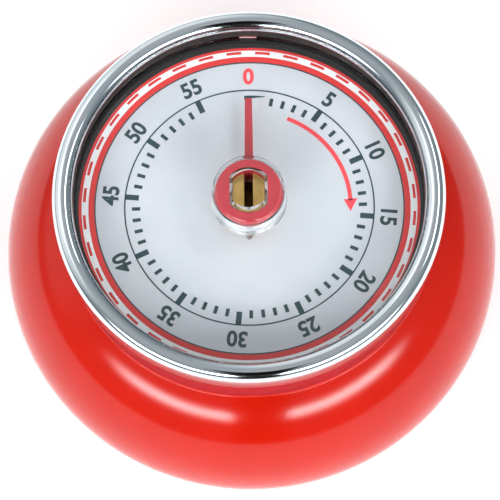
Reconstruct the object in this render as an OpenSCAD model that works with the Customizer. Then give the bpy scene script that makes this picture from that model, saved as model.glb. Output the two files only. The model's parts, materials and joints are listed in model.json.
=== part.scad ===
// Wind-up kitchen timer with a 55 minute dial.
// A round case with a clockwork movement screwed up under its dial, a bell on the back cover
// and a magnet in it. The bezel, lens, pointer and spindle turn as one: turning them
// clockwise winds the spring, and the train lets them run back to 0, where the bell rings.
// Frame: origin at the centre of the flat back, +Z out through the dial, +Y towards 0 minutes.

/* [Case] */
// Diameter of the case at its widest circle
body_d = 70; // [68:1:90]
// Height from the flat back to the top of the lens boss
overall_h = 40; // [39:0.5:52]
// Height of the widest circle above the back
belly_z = 13.6; // [13:0.1:15]
// Section radius of the case above its widest circle
belly_r = 16.2; // [15.5:0.1:18]
// Wall of the case and of the back cover
wall = 2; // [1.6:0.1:2.4]
// Height of the seam between the case and the back cover
seam_z = 3.5; // [3.2:0.1:4.5]
// Radius of the fillet where the neck rises out of the case
neck_fillet = 1.2; // [0.6:0.1:2]
// Thickness of the shelf that the dial lies on
shelf_t = 1.5; // [1.2:0.1:2]

/* [Bezel, lens and dial] */
// Outer diameter of the bezel
bezel_d = 54.5; // [54:0.5:66]
// Radius of the bezel's rolled edge
bezel_roll = 1.4; // [1.2:0.1:1.8]
// Wall of the bezel's inner and outer skirts
bezel_wall = 0.6; // [0.5:0.05:0.9]
// Height of the bezel's outer skirt below the roll
bezel_skirt = 2.4; // [2:0.1:4]
// How far the lens boss stands above the bezel
boss_proud = 1.3; // [0.8:0.1:2.5]
// Depth of the dial below the bezel's inner edge
well_depth = 5.2; // [4.8:0.1:7]
// Depth of the lens's upper face below the bezel's inner edge
lens_depth = 1.8; // [1.4:0.1:2.2]
// Thickness of the lens
lens_t = 1.2; // [1:0.1:1.5]
// Diameter of the lens boss where it rises from the lens
boss_d = 10.6; // [10.2:0.1:13]
// Thickness of the dial plate
dial_t = 0.5; // [0.4:0.1:0.8]
// Length of the pointer from the spindle's axis to its tip
pointer_l = 15.4; // [12:0.1:19]

/* [Spindle] */
// Diameter of the spindle
spindle_d = 5.5; // [5:0.1:6]
// Width of the spindle across its two flats
flats_w = 4.4; // [4:0.1:4.8]
// Width of the slot across the spindle's top
slot_w = 1.2; // [0.8:0.1:1.5]
// Depth of that slot
slot_depth = 3.5; // [2:0.1:5]
// Turn of the dial from 0 to its stop, in degrees
dial_travel = 336; // [300:1:338]

/* [Movement] */
// Thickness of the movement's plates
plate_t = 1.2; // [1:0.1:1.5]
// Distance between the plates
pillar_h = 11; // [11:0.1:12]
// Pitch radius of the second arbor's pinion
second_pinion_r = 1.6; // [1.5:0.05:1.65]
// Pitch radius of the third arbor's pinion
third_pinion_r = 1.3; // [1.2:0.05:1.35]
// Pitch radius of the escape arbor's pinion
escape_pinion_r = 1.05; // [1:0.01:1.1]
// Direction of the second arbor from the spindle
second_a = 195; // [190:1:197]
// Height of the mainspring
mainspring_h = 3.4; // [2.5:0.1:3.6]

/* [Bell and magnet] */
// Outer radius of the bell
bell_r = 19.8; // [19:0.1:21]
// Thickness of the bell
bell_t = 0.8; // [0.6:0.1:1]
// Height of the bell's seat on the back cover
bell_seat_z = 6.3; // [6:0.1:7]
// Outer radius of the ring magnet
magnet_r = 17; // [14:0.1:17.4]
// Inner radius of the ring magnet
magnet_in_r = 8; // [7:0.1:10]
// Thickness of the ring magnet
magnet_t = 3; // [2.4:0.1:3.2]

/* [Hidden] */
$fn = 96;
flat_sided = 12;      // sides of small flat-sided pins and bores in the gear train
eps = 0.01;
fit_gap = 0.05;       // radial clearance of a running fit
pivot_gap = 0.03;     // radial clearance of an arbor's pivot in its plate
turn_gap = 0.35;      // clearance between the turning bezel and the case
press_gap = 0.02;     // clearance of a part that is pressed or snapped home
seat_gap = 0.05;      // clearance round a part that is dropped into its seat

// Case section: one arc above the widest circle, one below it
upper_c = body_d / 2 - belly_r;
lower_r = belly_z;
lower_c = body_d / 2 - lower_r;

// Heights, from the top down
boss_top = overall_h;
roll_z = boss_top - boss_proud - bezel_roll;
lens_top = roll_z - lens_depth;
lens_z = lens_top - lens_t;
dial_top = roll_z - well_depth;
dial_z = dial_top - dial_t;
front_top = dial_z - shelf_t;
front_z = front_top - plate_t;
back_top = front_z - pillar_h;
back_z = back_top - plate_t;

// Bezel, neck and dial radii, from the bezel inwards
bezel_r = bezel_d / 2;
roll_r = bezel_r - bezel_roll;
well_r = bezel_r - 2 * bezel_roll;
neck_r = bezel_r - bezel_wall - turn_gap;
neck_in_r = well_r + bezel_wall + turn_gap;
neck_top = roll_z - turn_gap;
dial_ledge = 0.7;
neck_bore_r = neck_in_r - dial_ledge;
dial_r = neck_in_r - 0.2;
shelf_w = 4.4;
shelf_in_r = neck_bore_r - shelf_w;
skirt_floor_gap = 0.5;
fillet_z = belly_z + sqrt(pow(belly_r + neck_fillet, 2)
    - pow(neck_r + neck_fillet - upper_c, 2));

// Lens boss, socket and pointer
lens_r = well_r - press_gap;
boss_r = boss_d / 2;
boss_taper = 0.35;    // how much narrower in radius the boss is at its top
boss_wall = 0.35;     // wall of the boss at its top
boss_roof = 0.9;
boss_in_r = boss_r - boss_taper - boss_wall;
socket_r = spindle_d / 2 + 0.55;
socket_w = flats_w + 0.76;
hub_top = boss_top - boss_roof - seat_gap;
hub_h = 2;
hub_leg_w = 3;
pointer_t = 0.8;
pointer_w = 1.3;
pointer_tip_w = 1.0;
clip_wire_r = 0.3;
clip_opening = 2.4;

// Spindle
spindle_r = spindle_d / 2;
spindle_recess = 1.5; // depth of the spindle's top below the boss's
spindle_top = boss_top - spindle_recess;
spindle_foot_r = 1.5;
shoulder_gap = 0.2;   // height of the spindle's lower shoulder above the back plate
foot_drop = 0.3;      // reach of the spindle and the second arbor below the strike work
flats_z = front_top + 0.1;
collar_r = spindle_r + 1.05;
collar_h = 0.8;

// Movement plates and pillars
plate_r = neck_bore_r - 1.2;
pillar_r = 1.5;
pillar_end_r = 1;
pillar_c = plate_r - 1.9;
pillar_as = [40, 160, 270];
pillar_tail = 1.4;    // length of a pillar's lower end below the back plate
nut_r = 2;
nut_h = 1.2;
back_plate_r = plate_r - 0.2;
plate_screw_c = plate_r - 1.4;
plate_screw_as = [100, 215, 330];
plate_screw_r = 0.95;
plate_screw_head_r = 1.7;
plate_screw_head_t = 0.65;
arbor_r = 0.6;
arbor_pivot_r = 0.35;
pivot_recess = 0.1;   // depth of a pivot's end below the plate's face

// Train: 60 and 60 and 64 teeth drive lantern pinions of 8 trundles
great_n = 60;
second_n = 60;
third_n = 64;
trundles = 8;
mesh_gap = 0.06;
trundle_share = 0.19; // radius of a trundle as a share of the pinion's pitch radius
wheel_t = 0.8;
great_t = 1;
great_c = second_pinion_r * (great_n / trundles + 1);
second_c = third_pinion_r * (second_n / trundles + 1);
third_c = escape_pinion_r * (third_n / trundles + 1);
third_d = 14.5;       // distance of the third arbor from the spindle
escape_d = 15;        // distance of the escape arbor from the spindle
pallet_d = 16.5;      // distance of the pallet arbor from the spindle
pallet_c = 8.5;       // distance between the escape and pallet arbors
third_a = second_a + corner_angle(great_c, third_d, second_c);
escape_a = third_a + corner_angle(third_d, escape_d, third_c);
pallet_a = escape_a + corner_angle(escape_d, pallet_d, pallet_c);
second_p = polar(great_c, second_a);
third_p = polar(third_d, third_a);
escape_p = polar(escape_d, escape_a);
pallet_p = polar(pallet_d, pallet_a);
great_z = back_top + 1.3;
second_z = great_z + great_t + 1.8;
third_z = second_z + wheel_t + 1.4;
escape_z = great_z + great_t + 1.2;
disc_t = 0.5;
disc_gap = 0.25;
disc_rim = 0.35;
mainspring_z = third_z + wheel_t + 0.3;
mainspring_in_r = spindle_r + 0.35;
mainspring_r = 12.5;
mainspring_t = 0.3;
mainspring_turns = 6;
stop_pin_r = 0.45;
finger_hub_wall = 0.75;
stop_pin_c = spindle_r + finger_hub_wall + stop_pin_r + 0.35;
stop_pin_proud = 0.15;
finger_gap = 0.35;    // clearance of the stop finger above the front plate and below the dial
finger_reach = 1.2;   // reach of the finger past the stop pin's centre
finger_play = 0.2;    // free angle left between the finger and the pin at each end
clutch_clip_top = back_top + 0.7;
clutch_clip_t = 0.35;
clutch_clip_gap = 1.6;
washer_t = 0.3;

// Escapement
escape_n = 24;
escape_r = 5;
escape_t = 0.6;
pallet_pin_r = 0.25;
pallet_pin_c = escape_r + pallet_pin_r + 0.55;
pallet_span = 42;
pallet_z = escape_z + escape_t + 0.4;
pallet_t = 0.6;
balance_z = pallet_z + pallet_t + 0.6;
balance_r = 6.4;
balance_t = 0.8;
balance_weight_r = 1.1;

// Strike work, under the back plate
strike_t = 0.8;
strike_z = back_z - 0.8 - strike_t;
post_r = 0.8;
post_head_r = 1.3;
post_head_t = 0.4;
post_play = 0.1;
star_n = 6;
star_r = 2.6;
trip_p = polar(8.3, 123);
trip_range = 10;
nose_r = 0.5;
nose_p = polar(5, 150);
cam_gap = 0.15;
hammer_p = polar(12, 140);
lever_hub_r = post_r + 0.9;
rivet_r = 0.5;
spring_wire = 0.4;
spring_foot_r = 0.35;
hammer_head_r = 1.6;
hammer_gap = 0.55;    // clearance between the hammer's head and the bell at rest
hammer_dip = 2.4;     // reach of the hammer's head below the bell's rim
hammer_head_p = polar(bell_r - bell_t - hammer_gap - hammer_head_r, 80);
lever_w = 1.4;
star_gap = 0.8;
hammer_arm_a = heading(hammer_p, hammer_head_p);
hammer_spring_foot = hammer_p + polar(12, hammer_arm_a - 25);
hammer_spring_tip = hammer_p + polar(11.5, hammer_arm_a
    - asin((lever_w / 2 + spring_wire / 2 + fit_gap) / 11.5));
trip_arm_a = heading(trip_p, nose_p);
trip_spring_foot = polar(7.2, 192);
trip_spring_tip = trip_p + polar(3.8, trip_arm_a
    - asin((nose_r + spring_wire / 2 + fit_gap) / 3.8));
hammer_tail_l = 12;
hammer_to_star = second_p - hammer_p;
hammer_tail_a = atan2(hammer_to_star.y, hammer_to_star.x)
    - asin((star_r + star_gap + lever_w / 2) / norm(hammer_to_star));
finger_p = hammer_p + polar(5, hammer_tail_a) - polar(lever_w + 1.9, hammer_tail_a + 270);
bell_rim_z = back_z - 2.3;
bell_bend = 5;

// Back cover
cover_screw_c = lower_c + 4.4;
cover_screw_as = [15, 135, 255];
cover_boss_r = 2.2;
cover_boss_h = 7;
screw_r = 1.1;
screw_play = 0.15;
screw_head_r = 1.8;
screw_head_t = 1;
screw_seat_z = 2.4;
screw_l = 6.6;
screw_slot_w = 0.5;
screw_slot_depth = 0.45;
bell_post_r = 4;
bell_screw_head_r = 2.6;
bell_screw_head_t = 1.2;
magnet_z = 0.2;
backing_t = 0.8;
pocket_roof = 1.15;
pocket_wall = 1.2;
pocket_top = magnet_z + magnet_t + backing_t + seat_gap;
sound_slots = 18;
slot_in_r = magnet_r + seat_gap + pocket_wall + 0.8;
slot_out_r = lower_c + 1.2;
sound_slot_w = 1.8;

// ---- Plane geometry ----

function polar(r, a) = [r * cos(a), r * sin(a)];

// Angle at the spindle between two arbors, from their distances and their spacing
function corner_angle(d1, d2, gap) = acos((d1 * d1 + d2 * d2 - gap * gap) / (2 * d1 * d2));

// Corner radius of a flat-sided bore that a round arbor just fills
function flat_bore(r) = r / cos(180 / flat_sided);

function turned(p, a) = [p.x * cos(a) - p.y * sin(a), p.x * sin(a) + p.y * cos(a)];

function heading(from, to) = atan2(to.y - from.y, to.x - from.x);

// Centre of a trundle, seen from the wheel, once the pinion has turned by a from mid-mesh
function trundle_centre(ratio, rp, a) =
    polar(rp * (ratio + 1), a / ratio) - polar(rp, a + a / ratio);

// Point of the tooth flank that the trundle touches then, held clear radius away from it
function flank_point(ratio, rp, clear_r, a) =
    let (centre = trundle_centre(ratio, rp, a), pitch_point = polar(rp * ratio, a / ratio))
    centre + clear_r * (pitch_point - centre) / norm(pitch_point - centre);

// One tooth space: down a flank, round the root and up the next flank
function tooth_space(n, rp, clear_r) =
    let (ratio = n / trundles, start = clear_r / rp * 180 / PI, tip = 360 / trundles,
        side = [for (i = [0:2]) flank_point(ratio, rp, clear_r, start + (tip - start) * i / 2)],
        root = [for (t = [225, 180, 135]) [rp * ratio, 0] + polar(clear_r, t)])
    concat([for (i = [2:-1:0]) [side[i].x, -side[i].y]], root, side);

function wheel_outline(n, rp, clear_r) =
    let (space = tooth_space(n, rp, clear_r))
    [for (i = [0:n - 1]) for (p = space) turned(p, 360 / n * i)];

function arc_points(r, a1, a2, steps) = [for (i = [0:steps]) polar(r, a1 + (a2 - a1) * i / steps)];

// Window between two spokes of a wheel
function window_points(r1, r2, spokes, i) =
    let (pitch = 360 / spokes, half1 = pitch / 2 - asin(0.6 / r1), half2 = pitch / 2 - asin(0.6 / r2))
    concat(arc_points(r2, pitch * i - half2, pitch * i + half2, 6),
        arc_points(r1, pitch * i + half1, pitch * i - half1, 3));

// Place of the trip lever's nose at a turn of the dial
function nose_at(turn) =
    trip_p + turned(nose_p - trip_p, -trip_range * turn / dial_travel);

// Snail that keeps the nose cam_gap away, with its drop just behind the nose at 0
function cam_points() =
    let (low = norm(nose_at(0)) - nose_r - cam_gap, start = heading([0, 0], nose_at(0)),
        steps = 24)
    concat([polar(low, start - 14)],
        [for (i = [0:steps]) let (turn = dial_travel * i / steps, p = nose_at(turn))
            polar(norm(p) - nose_r - cam_gap, heading([0, 0], p) + turn)],
        [polar(norm(nose_at(dial_travel)) - nose_r - cam_gap, start - 16 + 360)]);

// ---- Shared shapes ----

module at(p, z = 0) {
    translate([p.x, p.y, z]) children();
}

module around(r, angles) {
    for (a = angles) at(polar(r, a)) children();
}

module rod(r, z1, z2) {
    translate([0, 0, z1]) cylinder(r = r, h = z2 - z1);
}

// Flat bar with round ends between two points
module bar(p, q, w, z, t) {
    at(p, z) cylinder(d = w, h = t);
    at(q, z) cylinder(d = w, h = t);
    at(p, z) rotate(heading(p, q)) translate([0, -w / 2, 0]) cube([norm(q - p), w, t]);
}

// Round bar with two flats that face left and right
module double_d(r, across, h) {
    intersection() {
        cylinder(r = r, h = h);
        translate([-across / 2, -r - 1, 0]) cube([across, 2 * r + 2, h]);
    }
}

// Screw with a plain shank that points up from its head
module screw(head_r, head_t, shank_r, shank_l) {
    difference() {
        translate([0, 0, -head_t]) cylinder(r = head_r, h = head_t);
        translate([-head_r, -screw_slot_w / 2, -head_t - eps])
            cube([2 * head_r, screw_slot_w, screw_slot_depth]);
    }
    cylinder(r = shank_r, h = shank_l);
}

// Toothed wheel on a flat-sided bore, turned so that one tooth space faces the next pinion
module train_wheel(n, rp, bore_r, t, towards) {
    clear_r = rp * trundle_share + mesh_gap;
    root_r = rp * n / trundles - clear_r;
    rotate(towards) linear_extrude(t) difference() {
        polygon(wheel_outline(n, rp, clear_r));
        circle(r = flat_bore(bore_r), $fn = flat_sided);
        for (i = [0:4]) polygon(window_points(bore_r + 1.6, root_r - 1.2, 5, i));
    }
}

// Lantern pinion: two discs that hold eight trundles, one of them facing the wheel
module lantern(rp, z1, z2, towards) {
    pin_r = rp * trundle_share;
    disc_r = rp + pin_r + disc_rim;
    for (z = [z1 - disc_gap - disc_t, z2 + disc_gap]) translate([0, 0, z]) difference() {
        cylinder(r = disc_r, h = disc_t, $fn = flat_sided);
        translate([0, 0, -1]) cylinder(r = flat_bore(arbor_r), h = disc_t + 2, $fn = flat_sided);
    }
    for (i = [0:trundles - 1]) at(polar(rp, towards + 360 / trundles * i), z1 - disc_gap)
        cylinder(r = pin_r, h = z2 - z1 + 2 * disc_gap, $fn = flat_sided);
}

// Arbor that runs between the plates on its two pivots
module arbor() {
    rod(arbor_r, back_top + pivot_gap, front_z - pivot_gap);
    rod(arbor_pivot_r, back_z + pivot_recess, front_top - pivot_recess);
}

// ---- Case ----

// Solid section of the case from the seam to the neck's top, on the +r side
module case_outline() {
    intersection() {
        union() {
            intersection() {
                translate([upper_c, belly_z]) circle(belly_r);
                translate([0, belly_z]) square([body_d, belly_r + 1]);
            }
            intersection() {
                translate([lower_c, belly_z]) circle(lower_r);
                translate([0, seam_z]) square([body_d, belly_z - seam_z]);
            }
            translate([0, seam_z]) square([lower_c, belly_z - seam_z]);
            translate([0, belly_z]) square([max(upper_c, eps), belly_r]);
            translate([0, belly_z]) square([neck_r, neck_top - belly_z]);
            neck_fillet_outline();
        }
        square([body_d, neck_top]);
    }
}

// Fillet between the neck's wall and the top arc of the case
module neck_fillet_outline() {
    centre = [neck_r + neck_fillet, fillet_z];
    towards = heading(centre, [upper_c, belly_z]);
    difference() {
        polygon([centre, [neck_r, fillet_z], [neck_r - 1, fillet_z],
            [neck_r - 1, fillet_z - neck_fillet - 1], centre + polar(neck_fillet + 0.5, towards),
            centre + polar(neck_fillet, towards)]);
        translate(centre) circle(neck_fillet);
    }
}

// Space inside the case
module case_inside() {
    intersection() {
        translate([upper_c, belly_z]) circle(belly_r - wall);
        translate([0, belly_z]) square([body_d, belly_r]);
    }
    intersection() {
        translate([lower_c, belly_z]) circle(lower_r - wall);
        translate([0, -1]) square([body_d, belly_z + 1]);
    }
    translate([0, -1]) square([lower_c, belly_z + 1]);
    translate([0, belly_z - eps]) square([upper_c, belly_r - wall + eps]);
    translate([0, belly_z - eps]) square([neck_bore_r, front_top - belly_z + eps]);
    translate([0, dial_z - shelf_t - eps]) square([shelf_in_r, shelf_t + 2 * eps]);
    translate([0, dial_z]) square([neck_in_r, neck_top]);
}

module body_shell() {
    color([0.88, 0.16, 0.13]) difference() {
        union() {
            rotate_extrude() difference() {
                case_outline();
                case_inside();
            }
            intersection() {
                rotate_extrude() case_outline();
                around(cover_screw_c, cover_screw_as)
                    rod(cover_boss_r, seam_z, seam_z + cover_boss_h);
            }
        }
        around(cover_screw_c, cover_screw_as) rod(screw_r, seam_z - 1, screw_seat_z + screw_l);
        around(plate_screw_c, plate_screw_as) {
            rod(plate_screw_r + screw_play, front_top - 1, dial_z + 1);
            rod(plate_screw_head_r + seat_gap, dial_z - plate_screw_head_t - seat_gap, dial_z + 1);
        }
    }
}

module back_cover() {
    color([0.12, 0.12, 0.13]) difference() {
        union() {
            rotate_extrude() {
                square([lower_c, wall]);
                intersection() {
                    difference() {
                        translate([lower_c, belly_z]) circle(lower_r);
                        translate([lower_c, belly_z]) circle(lower_r - wall);
                    }
                    translate([lower_c - eps, -1]) square([body_d, seam_z + 1]);
                }
                square([magnet_r + seat_gap + pocket_wall, pocket_top + pocket_roof]);
                square([bell_post_r, bell_seat_z]);
            }
            around(cover_screw_c, cover_screw_as) rod(cover_boss_r, wall, seam_z);
        }
        // Pocket for the magnet and its backing ring
        difference() {
            rod(magnet_r + seat_gap, -1, pocket_top);
            rod(magnet_in_r - seat_gap, -2, pocket_top + 1);
        }
        // Hollow round the bell's seat, so that the wall stays even
        difference() {
            rod(magnet_in_r - seat_gap - pocket_wall, wall, pocket_top + pocket_roof + 1);
            rod(bell_post_r, wall - 1, bell_seat_z + 1);
        }
        rod(screw_r, wall, bell_seat_z + 1);
        around(cover_screw_c, cover_screw_as) {
            rod(screw_r + screw_play, -1, seam_z + 1);
            rod(screw_head_r + 0.2, -1, screw_seat_z);
        }
        for (i = [0:sound_slots - 1]) rotate(360 / sound_slots * (i + 0.5))
            bar([slot_in_r, 0], [slot_out_r, 0], sound_slot_w, -1, wall + 3);
    }
}

module cover_screws() {
    color("silver") around(cover_screw_c, cover_screw_as)
        translate([0, 0, screw_seat_z])
            screw(screw_head_r, screw_head_t, screw_r, screw_l - screw_play);
}

module magnet() {
    color([0.2, 0.2, 0.21]) difference() {
        rod(magnet_r, magnet_z, magnet_z + magnet_t);
        rod(magnet_in_r, magnet_z - 1, magnet_z + magnet_t + 1);
    }
}

module magnet_backing() {
    z = magnet_z + magnet_t;
    color("silver") difference() {
        rod(magnet_r, z, z + backing_t);
        rod(magnet_in_r, z - 1, z + backing_t + 1);
    }
}

// Half section of a round-bottomed cup that is open at the top
module cup_outline(r, z, bend, top) {
    translate([0, z]) square([r - bend, top - z]);
    translate([r - bend, z + bend]) circle(bend);
    translate([0, z + bend]) square([r, top - z - bend]);
}

module bell() {
    color([0.75, 0.76, 0.78]) difference() {
        rotate_extrude() intersection() {
            difference() {
                cup_outline(bell_r, bell_seat_z, bell_bend, bell_rim_z + bell_bend);
                cup_outline(bell_r - bell_t, bell_seat_z + bell_t, bell_bend - bell_t,
                    bell_rim_z + bell_bend + 1);
            }
            square([bell_r + 1, bell_rim_z]);
        }
        rod(screw_r + screw_play, bell_seat_z - 1, bell_seat_z + bell_t + 1);
    }
}

module bell_screw() {
    color("silver") translate([0, 0, bell_seat_z + bell_t])
        mirror([0, 0, 1]) screw(bell_screw_head_r, bell_screw_head_t, screw_r,
            bell_seat_z + bell_t - wall - screw_play);
}

// ---- Bezel, lens, pointer and dial ----

module bezel() {
    color([0.8, 0.82, 0.84]) rotate_extrude() difference() {
        union() {
            translate([roll_r, roll_z]) circle(bezel_roll);
            translate([well_r, roll_z - bezel_skirt]) square([2 * bezel_roll, bezel_skirt]);
            translate([well_r, dial_top + skirt_floor_gap])
                square([bezel_wall, roll_z - dial_top - skirt_floor_gap]);
        }
        translate([well_r + bezel_wall, dial_top])
            square([2 * bezel_roll - 2 * bezel_wall, roll_z - dial_top]);
    }
}

module lens() {
    color([0.9, 0.95, 0.97, 0.35]) difference() {
        union() {
            rod(lens_r, lens_z, lens_top);
            translate([0, 0, lens_top])
                cylinder(r1 = boss_r, r2 = boss_r - boss_taper, h = boss_top - lens_top);
        }
        // Recess for the pointer's hub, round the socket that fits the spindle
        difference() {
            rod(boss_in_r, lens_z - 1, boss_top - boss_roof);
            translate([0, 0, lens_z - 2]) double_d(socket_r, socket_w, boss_top - lens_z + 2);
        }
        translate([0, 0, lens_z - 1])
            double_d(spindle_r + seat_gap, flats_w + 2 * seat_gap, boss_top - lens_z + 2);
    }
}

module lens_clip() {
    color("silver") difference() {
        rotate_extrude()
            translate([lens_r - clip_wire_r, lens_z - clip_wire_r]) circle(clip_wire_r, $fn = 24);
        translate([-clip_opening / 2, 0, lens_z - 1]) cube([clip_opening, bezel_r, 1]);
    }
}

// Red hand under the lens, with a leg up to the hub that fills the top of the boss
module pointer() {
    hub_r = boss_in_r - seat_gap;
    leg_in = socket_r + seat_gap;
    color([0.85, 0.15, 0.18]) difference() {
        union() {
            rod(hub_r, hub_top - hub_h, hub_top);
            intersection() {
                rod(hub_r, lens_z - pointer_t, hub_top);
                translate([-hub_leg_w / 2, leg_in, lens_z - pointer_t])
                    cube([hub_leg_w, hub_r, hub_top - lens_z + pointer_t]);
            }
            translate([0, 0, lens_z - pointer_t]) linear_extrude(pointer_t)
                polygon([[-pointer_w / 2, leg_in], [pointer_w / 2, leg_in],
                    [pointer_tip_w / 2, pointer_l], [-pointer_tip_w / 2, pointer_l]]);
        }
        translate([0, 0, hub_top - hub_h - 1])
            double_d(leg_in, socket_w + 2 * seat_gap, hub_h + 2);
    }
}

module dial() {
    color([0.86, 0.89, 0.92]) difference() {
        rod(dial_r, dial_z, dial_top);
        rod(spindle_r + 0.3, dial_z - 1, dial_top + 1);
        at([0, -stop_pin_c]) rod(stop_pin_r + seat_gap, dial_z - 1, dial_top + 1);
    }
}

// ---- Movement frame ----

module front_plate() {
    color([0.78, 0.72, 0.5]) difference() {
        rod(plate_r, front_z, front_top);
        rod(spindle_r + fit_gap, front_z - 1, front_top + 1);
        at([0, -stop_pin_c]) rod(stop_pin_r, front_z - 1, front_top + 1);
        around(pillar_c, pillar_as) rod(pillar_end_r, front_z - 1, front_top + 1);
        around(plate_screw_c, plate_screw_as) rod(plate_screw_r, front_z - 1, front_top + 1);
        for (p = [second_p, third_p, escape_p, pallet_p])
            at(p) rod(arbor_pivot_r + pivot_gap, front_z - 1, front_top + 1);
    }
}

module back_plate() {
    color([0.78, 0.72, 0.5]) difference() {
        rod(back_plate_r, back_z, back_top);
        rod(spindle_foot_r + fit_gap, back_z - 1, back_top + 1);
        around(pillar_c, pillar_as) rod(pillar_end_r, back_z - 1, back_top + 1);
        at(second_p) rod(arbor_r + pivot_gap, back_z - 1, back_top + 1);
        for (p = [third_p, escape_p, pallet_p])
            at(p) rod(arbor_pivot_r + pivot_gap, back_z - 1, back_top + 1);
        for (p = [trip_p, hammer_p]) at(p) rod(post_r, back_z - 1, back_top + 1);
        for (p = [hammer_spring_foot, trip_spring_foot])
            at(p) rod(spring_foot_r, back_z - 1, back_top + 1);
    }
}

module pillars() {
    color("silver") around(pillar_c, pillar_as) {
        rod(pillar_r, back_top, front_z);
        rod(pillar_end_r, front_z, front_top);
        rod(pillar_end_r, back_z - pillar_tail, back_top);
    }
}

module pillar_nuts() {
    color("silver") around(pillar_c, pillar_as) difference() {
        translate([0, 0, back_z - nut_h]) cylinder(r = nut_r, h = nut_h, $fn = 6);
        rod(pillar_end_r, back_z - 2, back_z + 1);
    }
}

module plate_screws() {
    color("silver") around(plate_screw_c, plate_screw_as)
        translate([0, 0, dial_z - plate_screw_head_t - seat_gap]) mirror([0, 0, 1])
            screw(plate_screw_head_r, plate_screw_head_t, plate_screw_r,
                dial_z - plate_screw_head_t - front_z + 0.3);
}

module stop_pin() {
    color("dimgray") at([0, -stop_pin_c]) rod(stop_pin_r, front_z, dial_top + stop_pin_proud);
}

// ---- Parts that turn with the dial ----

module spindle() {
    color([0.83, 0.68, 0.33]) difference() {
        union() {
            rod(spindle_foot_r, strike_z - foot_drop, back_top + shoulder_gap);
            rod(spindle_r, back_top + shoulder_gap, flats_z);
            rod(collar_r, great_z + great_t, great_z + great_t + collar_h);
            translate([0, 0, flats_z]) double_d(spindle_r, flats_w, spindle_top - flats_z);
        }
        translate([-slot_w / 2, -spindle_r - 1, spindle_top - slot_depth])
            cube([slot_w, 2 * spindle_r + 2, slot_depth + 1]);
    }
}

// Finger that meets the stop pin at both ends of the dial's travel
module stop_finger() {
    half = (360 - dial_travel) / 2 - asin(stop_pin_r / stop_pin_c) - finger_play;
    middle = 270 - (360 - dial_travel) / 2;
    t = dial_z - front_top - 2 * finger_gap;
    color("gray") translate([0, 0, front_top + finger_gap]) difference() {
        union() {
            cylinder(r = spindle_r + finger_hub_wall, h = t);
            linear_extrude(t) polygon(concat([[0, 0]],
                arc_points(stop_pin_c + finger_reach, middle - half, middle + half, 3)));
        }
        translate([0, 0, -1])
            double_d(spindle_r + press_gap, flats_w + 2 * press_gap, t + 2);
    }
}

module mainspring() {
    post = polar(pillar_c, pillar_as[1]);
    eye_r = pillar_r + 0.05;
    run_end = pillar_as[1] - acos(mainspring_r / pillar_c);
    run_start = run_end - 360 * mainspring_turns;
    steps = 24 * mainspring_turns;
    growth = (mainspring_r - mainspring_in_r) / steps;
    inner = [for (i = [0:steps])
        polar(mainspring_in_r + growth * i, run_start + 360 / 24 * i)];
    outer = [for (i = [steps:-1:0])
        polar(mainspring_in_r + mainspring_t + growth * i, run_start + 360 / 24 * i)];
    from = polar(mainspring_r + mainspring_t / 2, run_end);
    to = post - polar(eye_r + mainspring_t / 2, pillar_as[1] + 2);
    color([0.35, 0.4, 0.46]) translate([0, 0, mainspring_z]) difference() {
        union() {
            linear_extrude(mainspring_h) polygon(concat(inner, outer));
            bar(from, to, mainspring_t, 0, mainspring_h);
            at(post) cylinder(r = eye_r + mainspring_t, h = mainspring_h);
        }
        at(post) rod(eye_r, -1, mainspring_h + 1);
    }
}

module great_wheel() {
    color([0.8, 0.66, 0.35]) translate([0, 0, great_z])
        train_wheel(great_n, second_pinion_r, spindle_r + fit_gap, great_t, second_a);
}

// Dished washer that presses the great wheel up against the spindle's collar
module clutch_washer() {
    in_r = spindle_r + 0.1;
    flat_r = spindle_r + 2.4;
    out_r = spindle_r + 2.9;
    color("gray") rotate_extrude() polygon([[in_r, clutch_clip_top],
        [in_r, clutch_clip_top + washer_t], [flat_r, great_z], [out_r, great_z],
        [out_r, great_z - washer_t], [flat_r, great_z - washer_t]]);
}

module clutch_clip() {
    color("dimgray") difference() {
        rod(spindle_r + 1, clutch_clip_top - clutch_clip_t, clutch_clip_top);
        rod(spindle_r, 0, clutch_clip_top + 1);
        translate([0, -clutch_clip_gap / 2, 0])
            cube([2 * spindle_r, clutch_clip_gap, clutch_clip_top + 1]);
    }
}

module trip_cam() {
    color("gray") translate([0, 0, strike_z]) linear_extrude(strike_t) difference() {
        polygon(cam_points());
        circle(r = flat_bore(spindle_foot_r), $fn = flat_sided);
    }
}

// ---- Train ----

module second_arbor() {
    color("silver") at(second_p) {
        rod(arbor_r, strike_z - foot_drop, front_z - pivot_gap);
        rod(arbor_pivot_r, front_z - 1, front_top - pivot_recess);
    }
}

module second_pinion() {
    color("silver") at(second_p)
        lantern(second_pinion_r, great_z, great_z + great_t, second_a + 180);
}

module second_wheel() {
    color([0.8, 0.66, 0.35]) at(second_p, second_z)
        train_wheel(second_n, third_pinion_r, arbor_r, wheel_t, heading(second_p, third_p));
}

// Star that throws the hammer's tail
module strike_wheel() {
    color([0.8, 0.66, 0.35]) at(second_p, strike_z) linear_extrude(strike_t) difference() {
        polygon([for (i = [0:2 * star_n - 1])
            polar(i % 2 == 0 ? star_r : star_r * 0.6, 180 / star_n * i)]);
        circle(r = flat_bore(arbor_r), $fn = flat_sided);
    }
}

module third_arbor() {
    color("silver") at(third_p) arbor();
}

module third_pinion() {
    color("silver") at(third_p)
        lantern(third_pinion_r, second_z, second_z + wheel_t, heading(third_p, second_p));
}

module third_wheel() {
    color([0.8, 0.66, 0.35]) at(third_p, third_z)
        train_wheel(third_n, escape_pinion_r, arbor_r, wheel_t, heading(third_p, escape_p));
}

module escape_arbor() {
    color("silver") at(escape_p) arbor();
}

module escape_pinion() {
    color("silver") at(escape_p)
        lantern(escape_pinion_r, third_z, third_z + wheel_t, heading(escape_p, third_p));
}

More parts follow.
